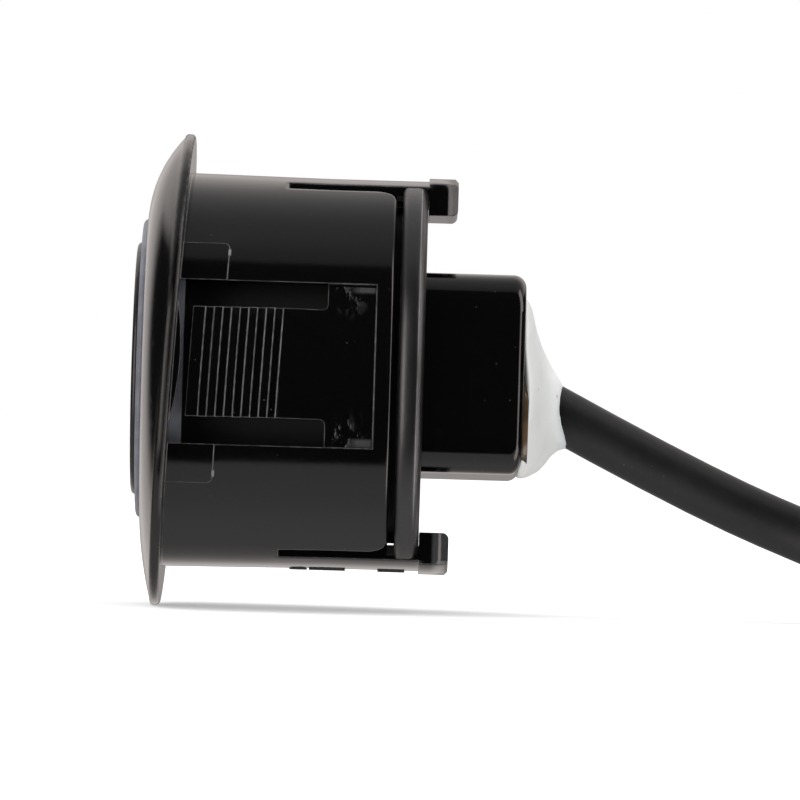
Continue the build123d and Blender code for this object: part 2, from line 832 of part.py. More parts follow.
with BuildPart() as plug_boot:
    with BuildSketch(plug_plane.offset(-boot_length)):
        Circle(boot_radius)
        Circle(cable_diameter / 2, mode=Mode.SUBTRACT)
    extrude(amount=boot_length)
plug_boot.part.label = "plug_boot"
export_step(plug_boot.part, "parts/plug_boot.step")
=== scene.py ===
from math import acos, asin, atan2, cos, degrees, pi, radians, sin

import bmesh
import bpy
from mathutils import Matrix, Vector


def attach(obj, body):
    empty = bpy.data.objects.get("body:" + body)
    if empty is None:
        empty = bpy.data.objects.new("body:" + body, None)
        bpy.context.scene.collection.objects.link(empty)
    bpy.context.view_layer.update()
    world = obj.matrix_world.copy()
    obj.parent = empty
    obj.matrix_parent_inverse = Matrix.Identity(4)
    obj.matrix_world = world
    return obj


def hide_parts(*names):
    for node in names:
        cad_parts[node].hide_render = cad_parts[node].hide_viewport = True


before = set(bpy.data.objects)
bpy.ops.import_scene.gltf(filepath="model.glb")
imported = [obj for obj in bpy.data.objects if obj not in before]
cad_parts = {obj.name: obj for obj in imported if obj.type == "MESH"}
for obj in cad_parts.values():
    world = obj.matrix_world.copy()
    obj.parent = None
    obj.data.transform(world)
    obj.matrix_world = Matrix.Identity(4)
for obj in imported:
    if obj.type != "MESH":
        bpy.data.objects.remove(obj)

bl_info = {
    "name": "Parking sensor dresser",
    "version": (1, 0, 0),
    "blender": (4, 5, 0),
    "location": "View3D > Sidebar > Sensor",
    "description": "Finishes, cable, sealant and studio for a snap-in parking sensor",
    "category": "Object",
}

MM = 0.001

# Sizes and places taken over from the part's source, in millimetres
FLOOR = -13.1
CABLE_DIAMETER = 3.0
CABLE_EXIT = (21.46, 0.0, -2.01)
CABLE_RUN = [
    (29.1, 0.0, -5.95),
    (37.0, 0.0, -9.05),
    (43.569, -2.708, -11.6),
    (50.138, -5.415, -11.6),
]
COIL_CENTRE = (69.5, 10.4)
COIL_OUTER, COIL_INNER, COIL_ROWS = 23.5, 10.5, 6
TOP_TURN_WIDTH = 6.3
PLUG_ANGLE, PLUG_RADIUS, PLUG_LENGTH, PLUG_HEIGHT = 60.0, 12.0, 14.0, 5.2
BOOT_LENGTH = 2.5
TIE_ANGLE, TIE_WIDTH, TIE_DEPTH = 320.0, 3.0, 0.5

# Places in the materials, in metres, and slopes
FLANGE_LEAN = 0.048  # the flange's back, towards the cable for each metre up
CLIP_LEAN = 0.0436  # the ribbed clip's middle line, down for each metre away from the camera
PAD_LEAN = 0.0467  # the line of the pads' corners, towards the cable for each metre up
PAD_LINE = 0.00256  # that line's place on the sensor's axis
PAD_CORNER = 0.00605  # from the clip's middle line to the pads' corners
HOOK_BEND = 0.01425  # where the hooks begin to curve
HOOK_CURVE = 4.8e7  # how fast they do, in depths of the moulding's bump per square metre
CROWN_DEPTH = 0.00012  # swell of the keeper ring's face
SEAM_ACROSS = 0.48  # its parting line, as a share of the half width
SEALANT_END = 0.0208  # where the sealant thins over the cable


def mm(*values):
    """A point given in millimetres, in metres."""
    return Vector(values) * MM


# Sizes and colours


class CableSizes(bpy.types.PropertyGroup):
    diameter: bpy.props.FloatProperty(
        name="Diameter",
        description="Outside of the jacket",
        default=CABLE_DIAMETER * MM,
        unit="LENGTH",
    )
    length: bpy.props.FloatProperty(
        name="Length", description="From the sealant to the plug", default=2.5, unit="LENGTH"
    )
    turn_points: bpy.props.IntProperty(
        name="Points per turn", description="Control points of each turn of the coil", default=16
    )
    row_turns: bpy.props.FloatProperty(
        name="Turns per row", description="Turns that lie side by side in one row", default=10 / 3
    )
    climb_turns: bpy.props.FloatProperty(
        name="Climb", description="Share of a turn in which the cable climbs a row", default=0.2
    )
    tail_radius: bpy.props.FloatProperty(
        name="Tail bend",
        description="Bend from the top turn to the plug",
        default=0.009,
        unit="LENGTH",
    )


class SealantSizes(bpy.types.PropertyGroup):
    ring_points: bpy.props.IntProperty(
        name="Points round", description="Points of each ring of the sealant", default=40
    )
    unevenness: bpy.props.FloatProperty(
        name="Unevenness",
        description="Height of the waves on its skin",
        default=0.00011,
        unit="LENGTH",
    )
    colour: bpy.props.FloatVectorProperty(
        name="Colour",
        description="White silicone",
        default=(0.92, 0.92, 0.902),
        size=3,
        subtype="COLOR",
    )


class PlasticFinish(bpy.types.PropertyGroup):
    black: bpy.props.FloatVectorProperty(
        name="Black",
        description="Moulded plastic",
        default=(0.0018, 0.0017, 0.0019),
        size=3,
        subtype="COLOR",
    )
    gloss: bpy.props.FloatProperty(
        name="Roughness", description="Roughness of the glossy mouldings", default=0.09
    )
    edge: bpy.props.FloatProperty(
        name="Edge", description="Rounding of sharp moulded edges", default=0.00009, unit="LENGTH"
    )
    silicone: bpy.props.FloatVectorProperty(
        name="Ring",
        description="Silicone ring",
        default=(0.2, 0.205, 0.24),
        size=3,
        subtype="COLOR",
    )
    jacket: bpy.props.FloatVectorProperty(
        name="Jacket",
        description="Cable jacket",
        default=(0.0045, 0.0045, 0.006),
        size=3,
        subtype="COLOR",
    )
    resin: bpy.props.FloatVectorProperty(
        name="Resin",
        description="Potting resin",
        default=(0.13, 0.08, 0.04),
        size=3,
        subtype="COLOR",
    )


class StudioSizes(bpy.types.PropertyGroup):
    distance: bpy.props.FloatProperty(
        name="Distance",
        description="From the lens to the sensor's axis",
        default=0.5,
        unit="LENGTH",
    )
    picture_width: bpy.props.FloatProperty(
        name="Picture width",
        description="Width of the view at the sensor's axis",
        default=0.04444,
        unit="LENGTH",
    )
    centre_x: bpy.props.FloatProperty(
        name="Centre X",
        description="Point that the picture is centred on",
        default=0.012378,
        unit="LENGTH",
    )
    centre_z: bpy.props.FloatProperty(
        name="Centre Z",
        description="Point that the picture is centred on",
        default=-0.001339,
        unit="LENGTH",
    )
    roll: bpy.props.FloatProperty(
        name="Roll", description="Camera's roll", default=radians(1.7), subtype="ANGLE"
    )
    floor_radius: bpy.props.FloatProperty(
        name="Floor radius", description="Reach of the white floor", default=4.0, unit="LENGTH"
    )
    key_power: bpy.props.FloatProperty(
        name="Overhead lamp", description="Power of the soft lamp overhead, in watts", default=1.9
    )


# Shader nodes


class Reading:
    """A shader socket that is used in sums like a number."""

    def __init__(self, finish, socket):
        self.finish, self.socket = finish, socket

    def _math(self, operation, *values):
        settings = {"operation": operation}
        return self.finish.node("ShaderNodeMath", settings, dict(enumerate(values)))

    def __add__(self, other):
        return self._math("ADD", self, other)

    __radd__ = __add__

    def __sub__(self, other):
        return self._math("SUBTRACT", self, other)

    def __rsub__(self, other):
        return self._math("SUBTRACT", other, self)

    def __mul__(self, other):
        return self._math("MULTIPLY", self, other)

    __rmul__ = __mul__

    def __truediv__(self, other):
        return self._math("DIVIDE", self, other)

    def __gt__(self, other):
        return self._math("GREATER_THAN", self, other)

    def __abs__(self):
        return self._math("ABSOLUTE", self)

    def maximum(self, other):
        return self._math("MAXIMUM", self, other)

    def rise(self, low, high):
        """0 at low, 1 at high, eased in between."""
        settings = {"interpolation_type": "SMOOTHSTEP"}
        values = {"Value": self, "From Min": low, "From Max": high}
        return self.finish.node("ShaderNodeMapRange", settings, values)

    def between(self, start, full, fade, end):
        """0 outside start and end, 1 from full to fade, eased in between."""
        return self.rise(start, full) * (1 - self.rise(fade, end))


class Finish:
    """The node tree of one material, or of the world."""

    def __init__(self, tree):
        self.tree = tree
        tree.nodes.clear()

    def node(self, kind, settings=None, values=None, out=0):
        """Adds a node with its settings and with numbers or links on its sockets."""
        made = self.tree.nodes.new(kind)
        for name, value in (settings or {}).items():
            setattr(made, name, value)
        for name, value in (values or {}).items():
            if isinstance(value, Reading):
                self.tree.links.new(value.socket, made.inputs[name])
            elif value is not None:
                made.inputs[name].default_value = value
        return Reading(self, made.outputs[out]) if made.outputs else None

    def place(self):
        """Object coordinates, in metres."""
        return self.node("ShaderNodeTexCoord", out="Object")

    def axes(self, vector):
        made = self.node("ShaderNodeSeparateXYZ", values={0: vector}).socket.node
        return [Reading(self, made.outputs[k]) for k in range(3)]

    def noise(self, scale, detail=2.0, rough=0.5, where=None, stretch=None):
        where = where or self.place()
        if stretch:
            settings = {"operation": "MULTIPLY"}
            where = self.node("ShaderNodeVectorMath", settings, {0: where, 1: stretch})
        values = {"Vector": where, "Scale": scale, "Detail": detail, "Roughness": rough}
        return self.node("ShaderNodeTexNoise", None, values)

    def specks(self, scale, share, where=None):
        """Small soft dots, 1 at the middle of each, in a share of the cells."""
        where = where or self.place()
        values = {"Vector": where, "Scale": scale}
        made = self.node("ShaderNodeTexVoronoi", None, values, "Distance").socket.node
        cell = Reading(self, made.outputs["Color"])
        chance = self.node("ShaderNodeSeparateColor", values={0: cell})
        near = 1 - Reading(self, made.outputs["Distance"]).rise(0.1, 0.3)
        return near * (chance > 1 - share)

    def blend(self, share, first, second):
        settings = {"data_type": "RGBA"}
        first = first if isinstance(first, Reading) else (*first, 1)
        second = second if isinstance(second, Reading) else (*second, 1)
        return self.node("ShaderNodeMix", settings, {0: share, 6: first, 7: second}, out=2)

    def bump(self, height, depth, edge=0.0, strength=1.0, share=None):
        """Normal for a height that goes from 0 to 1 over depth, on edges rounded by edge, or by
        seven times as much where share is 0."""
        values = {"Height": height, "Distance": depth, "Strength": strength}
        if edge:
            values["Normal"] = self.node("ShaderNodeBevel", {"samples": 6}, {"Radius": edge})
        if share:
            wide = self.node("ShaderNodeBevel", {"samples": 8}, {"Radius": edge * 7})
            mixed = {0: share, 4: wide, 5: values["Normal"]}
            values["Normal"] = self.node("ShaderNodeMix", {"data_type": "VECTOR"}, mixed, out=1)
        return self.node("ShaderNodeBump", None, values)

    def edges(self, radius):
        """1 on the edges between faces and 0 on open faces."""
        soft = self.node("ShaderNodeBevel", {"samples": 6}, {"Radius": radius})
        flat = self.node("ShaderNodeNewGeometry", out="Normal")
        settings = {"operation": "DOT_PRODUCT"}
        same = self.node("ShaderNodeVectorMath", settings, {0: soft, 1: flat}, out="Value")
        return 1 - same.rise(0.86, 0.985)

    def surface(self, **values):
        """Principled surface; each name is a socket's, in small letters."""
        sockets = {}
        for name, value in values.items():
            sockets[name.replace("_", " ").title().replace("Ior", "IOR")] = value
        shader = self.node("ShaderNodeBsdfPrincipled", None, sockets)
        self.node("ShaderNodeOutputMaterial", None, {"Surface": shader})


def new_finish(name):
    material = bpy.data.materials.new(name)
    material.use_nodes = True
    return material, Finish(material.node_tree)


def wear(piece, material):
    """Puts a material on a piece in place of whatever it has."""
    piece.data.materials.clear()
    piece.data.materials.append(material)


def scaled(colour, share):
    return tuple(channel * share for channel in colour)


def gloss_plastic(name, clip_marks=False):
    """Glossy black moulding: faint flow waves, hair scratches, edges painted pale as highlights
    and a little dust, and matt in the gap in front of the keeper ring, which stays dark."""
    look = bpy.context.scene.sensor_plastic
    material, finish = new_finish(name)
    place = finish.place()
    x, y, z = finish.axes(place)
    waves = finish.noise(160, 2, where=place)
    grain = finish.noise(2600, 3, 0.6, place)
    hairs = finish.noise(900, 2, 0.6, place, (0.12, 1, 1)).rise(0.62, 0.72)
    dust = finish.specks(5000, 0.008, place)
    behind_flange = (x - FLANGE_LEAN * z).rise(-0.0002, 0.0001)
    edges = finish.edges(look.edge) * behind_flange
    # painted highlights: the edges are painted pale, broken up by noise, and more so on the ribs
    painted_highlights_and_scoring = edges * (0.45 + 0.55 * finish.noise(1900, 2, 0.6, place).rise(0.4, 0.6))
    ripples = finish.noise(800, 2, where=place)
    height = waves * 0.5 + ripples * 0.2 + grain * 0.012 + hairs * 0.01
    rough = look.gloss + grain.rise(0.4, 0.9) * 0.05 + hairs * 0.07 + dust * 0.3 + edges * 0.15
    aside = abs(z + CLIP_LEAN * y)
    on_arms = x.rise(0.0056, 0.0058) * abs(z).rise(0.01, 0.0102)
    ribs = (x > 0.0007) * (1 - x.rise(0.0059, 0.0061)) * (1 - aside.rise(0.0029, 0.0031))
    painted_highlights_and_scoring = painted_highlights_and_scoring * (0.55 + 0.45 * ribs)
    if clip_marks:
        streaks = finish.noise(2300, 3, 0.7, place, (1, 1, 0.16)).rise(0.5, 0.62)
        smears = finish.noise(700, 3, 0.6, place, (0.35, 1, 1)).rise(0.42, 0.6)
        front = x.between(0.00865, 0.00885, 0.0098, 0.0108)
        back = x.between(0.0094, 0.0102, 0.0108, 0.011)
        fading = aside.between(0.0022, 0.0042, 0.00445, 0.00455)
        outer = aside.between(0.0039, 0.0041, 0.0044, 0.0045)
        on_clip = abs(y) > 0.0096
        scored = (streaks * front * fading * 0.7).maximum(smears * back * outer) * on_clip
        past = (x - HOOK_BEND).maximum(0)
        height = height + scored * 2 - past * past * HOOK_CURVE
        rough = rough + scored * 0.2
        # painted highlights: glints on the pads' corners, laid into the base colour
        across = abs(x - PAD_LEAN * z - PAD_LINE) / 0.00009
        along = abs(aside - PAD_CORNER) / 0.00024
        glint = (1 - across.rise(0.5, 1)) * (1 - along.rise(0.4, 1))  # on the pads' corners
        # painted highlight: the lower hook's end is painted paler than the upper one's
        lower_hook_highlight = (1 - (z > 0)) * x.rise(0.0143, 0.0145)
        painted_highlights_and_scoring = painted_highlights_and_scoring.maximum(scored * 0.16).maximum(glint * 0.8).maximum(lower_hook_highlight * 0.2)
        in_gap = x.between(0.01188, 0.0119, 0.0123, 0.0124) * (1 - abs(z).rise(0.0098, 0.01))
    else:
        in_gap = 1 - x.rise(0.0125, 0.0128)
    colour = finish.blend(dust * 0.25, look.black[:], (0.16, 0.15, 0.14))
    narrow = behind_flange * (1 - 0.6 * on_arms)
    finish.surface(
        # pale grey of the painted highlights on edges, pads' corners and the lower hook, and of the
        # scored marks
        base_color=finish.blend(painted_highlights_and_scoring, colour, (0.32, 0.315, 0.33)),
        roughness=rough + in_gap * 0.7,
        ior=1.5,
        normal=finish.bump(height, 0.00002, look.edge, 0.8, narrow),
    )
    return material


def satin_plastic(name, colour, roughness=0.38, grain_depth=0.00001, crown=None, edge=None):
    """Fine-grained satin plastic. Crown gives the middle and the half width of a face that
    swells along X and has a parting line, painted pale as its highlight."""
    look = bpy.context.scene.sensor_plastic
    material, finish = new_finish(name)
    place = finish.place()
    grain = finish.noise(4200, 3, 0.6, place)
    cloud = finish.noise(140, 3, 0.55, place)
    dust = finish.specks(5000, 0.015, place)
    tone = finish.blend(cloud.rise(0.3, 0.7), scaled(colour, 0.85), scaled(colour, 1.2))
    height, depth = grain, grain_depth
    if crown:
        across = (finish.axes(place)[0] - crown[0]) / crown[1]
        height, depth = grain * (grain_depth / CROWN_DEPTH) - across * across, CROWN_DEPTH
        # painted highlight: the parting line is painted pale, in patches
        seam_highlight = (1 - abs(across - SEAM_ACROSS).rise(0.02, 0.07)) * cloud.rise(0.35, 0.6)
        tone = finish.blend(seam_highlight * 0.5, tone, (0.3, 0.29, 0.31))
    finish.surface(
        base_color=finish.blend(dust * 0.2, tone, (0.2, 0.19, 0.18)),
        roughness=roughness + (cloud - 0.5) * 0.12 + (grain - 0.5) * 0.1,
        specular_ior_level=0.85 if crown else 0.5,
        normal=finish.bump(height, depth, edge or look.edge, 1.0 if crown else 0.6),
    )
    return material


def soft_silicone(name, colour, fleck, roughness=0.5):
    """Silicone rubber with pale flecks of filler and lint."""
    material, finish = new_finish(name)
    place = finish.place()
    cloud = finish.noise(300, 4, 0.6, place)
    grain = finish.noise(3600, 3, 0.65, place)
    flecks = finish.specks(5200, 0.2, place)
    tone = finish.blend(cloud.rise(0.3, 0.7), scaled(colour, 0.75), scaled(colour, 1.3))
    finish.surface(
        base_color=finish.blend(flecks * 0.55, tone, fleck),
        roughness=roughness + (grain - 0.5) * 0.2,
        normal=finish.bump(grain + flecks * 0.4, 0.00003, 0.0001, 0.6),
    )
    return material


def sealant_white(name):
    """Hand-laid white silicone: a slight gloss, a few grey specks and pin holes."""
    white = bpy.context.scene.sensor_sealant.colour[:]
    material, finish = new_finish(name)
    place = finish.place()
    cloud = finish.noise(420, 3, 0.5, place)
    skin = finish.noise(1500, 3, 0.5, place)
    specks = finish.specks(1900, 0.03, place)
    shaded = (white[0] * 0.93, white[1] * 0.95, white[2] * 0.95)
    tone = finish.blend(cloud.rise(0.3, 0.75), white, shaded)
    by_cable = finish.axes(place)[0].rise(SEALANT_END, SEALANT_END + 0.0012)
    tone = finish.blend(by_cable * 0.7, tone, (0.66, 0.74, 0.8))
    finish.surface(
        base_color=finish.blend(specks * 0.55, tone, (0.3, 0.29, 0.27)),
        roughness=0.34 + cloud * 0.2,
        normal=finish.bump(skin - specks * 0.5, 0.00003, 0, 0.5),
        subsurface_weight=0.15,
        subsurface_radius=(0.0012, 0.0012, 0.0013),
        subsurface_scale=1.0,
    )
    return material


def amber_resin(name):
    """Amber potting resin, darker where it is thick."""
    colour = bpy.context.scene.sensor_plastic.resin[:]
    material, finish = new_finish(name)
    place = finish.place()
    depth = finish.noise(260, 3, 0.55, place)
    bubbles = finish.specks(4000, 0.08, place)
    tone = finish.blend(depth.rise(0.35, 0.65), scaled(colour, 0.1), colour)
    finish.surface(
        base_color=finish.blend(bubbles * 0.5, tone, scaled(colour, 2.2)),
        roughness=0.12 + depth * 0.1,
        normal=finish.bump(depth - bubbles * 0.3, 0.00008, 0.00012, 0.7),
    )
    return material


def jacket_pvc(name):
    """Matt black cable jacket with a fine extruded grain."""
    colour = bpy.context.scene.sensor_plastic.jacket[:]
    material, finish = new_finish(name)
    place = finish.place()
    grain = finish.noise(3400, 4, 0.65, place)
    scuffs = finish.noise(500, 3, 0.6, place)
    dust = finish.specks(4500, 0.03, place)
    tone = finish.blend(scuffs.rise(0.35, 0.75), scaled(colour, 0.85), scaled(colour, 1.25))
    finish.surface(
        base_color=finish.blend(dust * 0.22, tone, (0.16, 0.16, 0.17)),
        roughness=0.5 + (scuffs - 0.5) * 0.14 + (grain - 0.5) * 0.1,
        specular_ior_level=0.6,
        normal=finish.bump(grain, 0.00003, 0, 0.55),
    )
    return material


def drawn_metal(name, colour, roughness=0.3):
    """Plated or drawn metal with fine lines along X."""
    material, finish = new_finish(name)
    place = finish.place()
    lines = finish.noise(5200, 3, 0.6, place, (0.06, 1, 1))
    stain = finish.noise(380, 3, 0.6, place)
    finish.surface(
        base_color=finish.blend(stain.rise(0.4, 0.75), colour, scaled(colour, 0.7)),
        metallic=1.0,
        roughness=roughness + (lines - 0.5) * 0.16,
        normal=finish.bump(lines, 0.00001, 0.00003, 0.4),
    )
    return material


def cork_disc(name):
    """Cork: brown grains and darker pits."""
    material, finish = new_finish(name)
    place = finish.place()
    grains = finish.node("ShaderNodeTexVoronoi", None, {"Vector": place, "Scale": 1500}, "Distance")
    pits = finish.noise(1200, 4, 0.7, place).rise(0.6, 0.72)
    tone = finish.blend(grains, (0.45, 0.29, 0.15), (0.28, 0.16, 0.08))
    finish.surface(
        base_color=finish.blend(pits, tone, (0.1, 0.055, 0.03)),
        roughness=0.85,
        normal=finish.bump(grains - pits * 0.7, 0.00008, 0, 0.8),
    )
    return material


def wound_wire(name, wire=0.00018):
    """Enamelled copper wire, wound round an upright post, with painted shade in the grooves between
    the turns.
    """
    material, finish = new_finish(name)
    place = finish.place()
    z = finish.axes(place)[2]
    turns = abs(finish.node("ShaderNodeMath", {"operation": "SINE"}, {0: z * (pi / wire)}))
    stain = finish.noise(900, 3, 0.6, place)
    # painted shade: the grooves between the turns are painted dark
    shade_between_turns, on_turns = (0.12, 0.035, 0.012), (0.75, 0.3, 0.12)
    finish.surface(
        base_color=finish.blend(turns * (0.7 + stain * 0.3), shade_between_turns, on_turns),
        metallic=0.85,
        roughness=0.3 + stain * 0.15,
        normal=finish.bump(turns, 0.00008, 0, 0.8),
    )
    return material


def board_green(name):
    """Circuit board: solder mask over tracks."""
    material, finish = new_finish(name)
    place = finish.place()
    cells = {"Vector": place, "Scale": 900}
    settings = {"distance": "CHEBYCHEV", "feature": "F1"}
    tracks = finish.node("ShaderNodeTexVoronoi", settings, cells, "Distance").rise(0.42, 0.46)
    weave = finish.noise(3000, 3, 0.6, place)
    finish.surface(
        base_color=finish.blend(tracks, (0.015, 0.11, 0.04), (0.03, 0.2, 0.07)),
        roughness=0.32 + weave * 0.15,
        normal=finish.bump(tracks * 0.6 + weave * 0.15, 0.00003, 0.00004, 0.6),
    )
    return material


# Making pieces


def deselect_all():
    if bpy.context.object and bpy.context.object.mode != "OBJECT":
        bpy.ops.object.mode_set(mode="OBJECT")
    bpy.ops.object.select_all(action="DESELECT")


def begin(name):
    """Names the new primitive and opens it in edit mode."""
    piece = bpy.context.object
    piece.name = piece.data.name = name
    bpy.context.tool_settings.mesh_select_mode = (True, False, False)
    bpy.ops.object.mode_set(mode="EDIT")
    return piece


def settle():
    """Applies the open piece's place, turn and scale to its mesh."""
    bpy.ops.object.mode_set(mode="OBJECT")
    bpy.ops.object.transform_apply(location=True, rotation=True, scale=True)
    bpy.ops.object.mode_set(mode="EDIT")


def pick_faces(piece, centre, way, more):
    """Selects the faces whose middle lies more than so many millimetres from centre along way."""
    bpy.ops.mesh.select_all(action="DESELECT")
    bpy.context.tool_settings.mesh_select_mode = (False, False, True)
    mesh = bmesh.from_edit_mesh(piece.data)
    for face in mesh.faces:
        if (face.calc_center_median() / MM - centre).dot(way) > more:
            face.select_set(True)
    mesh.select_flush_mode()
    bmesh.update_edit_mesh(piece.data)


def complete(piece, modifiers=(), smooth=35):
    """Closes edit mode, applies modifiers and leaves the object at the origin."""
    bpy.ops.object.mode_set(mode="OBJECT")
    deselect_all()
    piece.select_set(True)
    bpy.context.view_layer.objects.active = piece
    bpy.ops.object.transform_apply(location=True, rotation=True, scale=True)
    for kind, settings in modifiers:
        modifier = piece.modifiers.new(kind.title(), kind)
        for name, value in settings.items():
            setattr(modifier, name, value)
        bpy.ops.object.modifier_apply(modifier=modifier.name)
    if smooth >= 180:
        bpy.ops.object.shade_smooth()
    else:
        bpy.ops.object.shade_smooth_by_angle(angle=radians(smooth))
    deselect_all()


def outward(piece):
    """Joins double points of the open mesh and turns its faces outward."""
    bpy.ops.mesh.select_all(action="SELECT")
    bpy.ops.mesh.remove_doubles(threshold=1e-6)
    bpy.ops.mesh.normals_make_consistent(inside=False)
    if bmesh.from_edit_mesh(piece.data).calc_volume(signed=True) < 0:
        bpy.ops.mesh.flip_normals()


def coil_points(sizes):
    """Control points of the coil's rows and its top turn, as far as the bend to the plug."""
    thick = sizes.diameter / MM
    low, high = COIL_INNER + thick / 2, COIL_OUTER - thick / 2
    top_radius = COIL_OUTER - TOP_TURN_WIDTH + thick / 2
    tail = sizes.tail_radius / MM
    reach = top_radius - tail
    leave = PLUG_ANGLE - 90 + degrees(asin((PLUG_RADIUS - tail) / reach))
    approach = Vector(CABLE_RUN[-1][:2]) - Vector(COIL_CENTRE)
    touch = degrees(atan2(approach.y, approach.x) + acos(high / approach.length))
    step = 360 / sizes.turn_points
    swell = 1 / (0.75 + 0.25 * cos(radians(step)))  # the spline runs inside its control points
    per_row = sizes.row_turns + sizes.climb_turns
    row_total = COIL_ROWS * per_row
    rest = (leave - touch - 360 * row_total) % 360 / 360
    top_turns = rest + 1 if rest < 0.5 else rest
    total = row_total + top_turns
    count = round(total * sizes.turn_points)
    points = []
    for k in range(count + 1):
        turn = total * k / count
        row = min(int(turn / per_row), COIL_ROWS)
        within = turn - row * per_row
        if row < COIL_ROWS:
            share = min(within / sizes.row_turns, 1)
            radius = high + (low - high) * share if row % 2 == 0 else low + (high - low) * share
            climb = max(0.0, (within - sizes.row_turns) / sizes.climb_turns)
        else:
            radius = high + (top_radius - high) * within / top_turns
            climb = 0.0
        eased = climb * climb * (3 - 2 * climb)
        height = FLOOR + thick / 2 + thick * (row + eased)
        angle = radians(touch + 360 * turn)
        wide = radius * swell
        x = COIL_CENTRE[0] + wide * cos(angle)
        y = COIL_CENTRE[1] + wide * sin(angle)
        points.append((x, y, height))
    return points, leave, reach


def plug_frame():
    """The middle of the plug's back, in millimetres, and the way that the plug points."""
    angle = radians(PLUG_ANGLE)
    way = Vector((-sin(angle), cos(angle), 0))
    middle = Vector((*COIL_CENTRE, FLOOR + CABLE_DIAMETER * COIL_ROWS + PLUG_HEIGHT / 2))
    middle += PLUG_RADIUS * Vector((cos(angle), sin(angle), 0))
    return middle - way * PLUG_LENGTH / 2, way


def cable_points(sizes):
    """The whole cable's control points, from the sealant to the plug, in millimetres."""
    back, way = plug_frame()
    rows, leave, reach = coil_points(sizes)
    bend_centre = Vector((*COIL_CENTRE, 0))
    bend_centre += reach * Vector((cos(radians(leave)), sin(radians(leave)), 0))
    bend = []
    steps = 3
    for k in range(1, steps + 1):
        angle = radians(leave + (PLUG_ANGLE - leave) * k / steps)
        height = rows[-1][2] + (back.z - rows[-1][2]) * k / steps
        at = bend_centre + (sizes.tail_radius / MM) * 1.02 * Vector((cos(angle), sin(angle), 0))
        bend.append((at.x, at.y, height))
    inward = (Vector(CABLE_EXIT) - Vector(CABLE_RUN[0])).normalized()
    in_sealant, in_plug = 1.2, 1.5  # how far the cable's ends reach in
    start = Vector(CABLE_EXIT) + inward * in_sealant
    return [tuple(start), *CABLE_RUN, *rows, *bend, tuple(back), tuple(back + way * in_plug)]


class SENSOR_OT_cable(bpy.types.Operator):
    """Lay the cable from the sealant along the floor into its coil and up to the plug"""

    bl_idname = "sensor.cable"
    bl_label = "Cable"

    def execute(self, context):
        sizes = context.scene.sensor_cable
        line = bpy.data.curves.new("cable_line", "CURVE")
        line.dimensions = "3D"
        points = cable_points(sizes)
        spline = line.splines.new("NURBS")
        spline.points.add(len(points) - 1)
        for point, at in zip(spline.points, points):
            point.co = (*mm(*at), 1)
        spline.order_u = 3
        spline.use_endpoint_u = True
        spline.resolution_u = 5
        line.bevel_depth = sizes.diameter / 2
        line.bevel_resolution = 9
        line.use_fill_caps = True
        cable = bpy.data.objects.new("cable_line", line)
        context.scene.collection.objects.link(cable)
        line.materials.append(jacket_pvc("jacket"))
        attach(cable, "root")
        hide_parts("cable", "cable_coil")
        return {"FINISHED"}


class SENSOR_OT_plug_boot(bpy.types.Operator):
    """Ribbed strain relief behind the plug"""

    bl_idname = "sensor.plug_boot"
    bl_label = "Plug boot"

    # radius at the cable's end, then for each edge of the ribs the step towards the plug and
    # the new radius, in millimetres
    START_RADIUS = 1.56
    PROFILE = [
        (0.0, 1.8), (0.35, 1.85), (0.0, 1.62), (0.3, 1.62), (0.0, 1.95), (0.4, 1.98), (0.0, 1.68),
        (0.3, 1.68), (0.0, 2.05), (0.45, 2.08), (0.0, 1.8), (0.3, 1.8), (0.0, 2.1), (0.5, 2.1),
    ]

    def execute(self, context):
        deselect_all()
        back, way = plug_frame()
        turn = way.to_track_quat("Z", "Y").to_euler()
        at = back - way * BOOT_LENGTH
        bpy.ops.mesh.primitive_circle_add(
            vertices=32,
            radius=self.START_RADIUS * MM,
            fill_type="NOTHING",
            location=mm(*at),
            rotation=turn,
        )
        boot = begin("strain_relief")
        settle()
        bpy.ops.mesh.select_all(action="SELECT")
        radius = self.START_RADIUS
        for along, wide in self.PROFILE:
            bpy.ops.mesh.extrude_region_move(TRANSFORM_OT_translate={"value": mm(*(way * along))})
            at = at + way * along
            share = wide / radius
            bpy.ops.transform.resize(value=(share, share, share), center_override=mm(*at))
            radius = wide
        bpy.ops.mesh.select_all(action="SELECT")
        bpy.ops.mesh.fill_holes(sides=0)
        outward(boot)
        complete(boot, [("BEVEL", {"width": 0.06 * MM, "segments": 2, "limit_method": "ANGLE"})])
        wear(boot, bpy.data.materials["jacket"])
        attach(boot, "root")
        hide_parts("plug_boot")
        return {"FINISHED"}


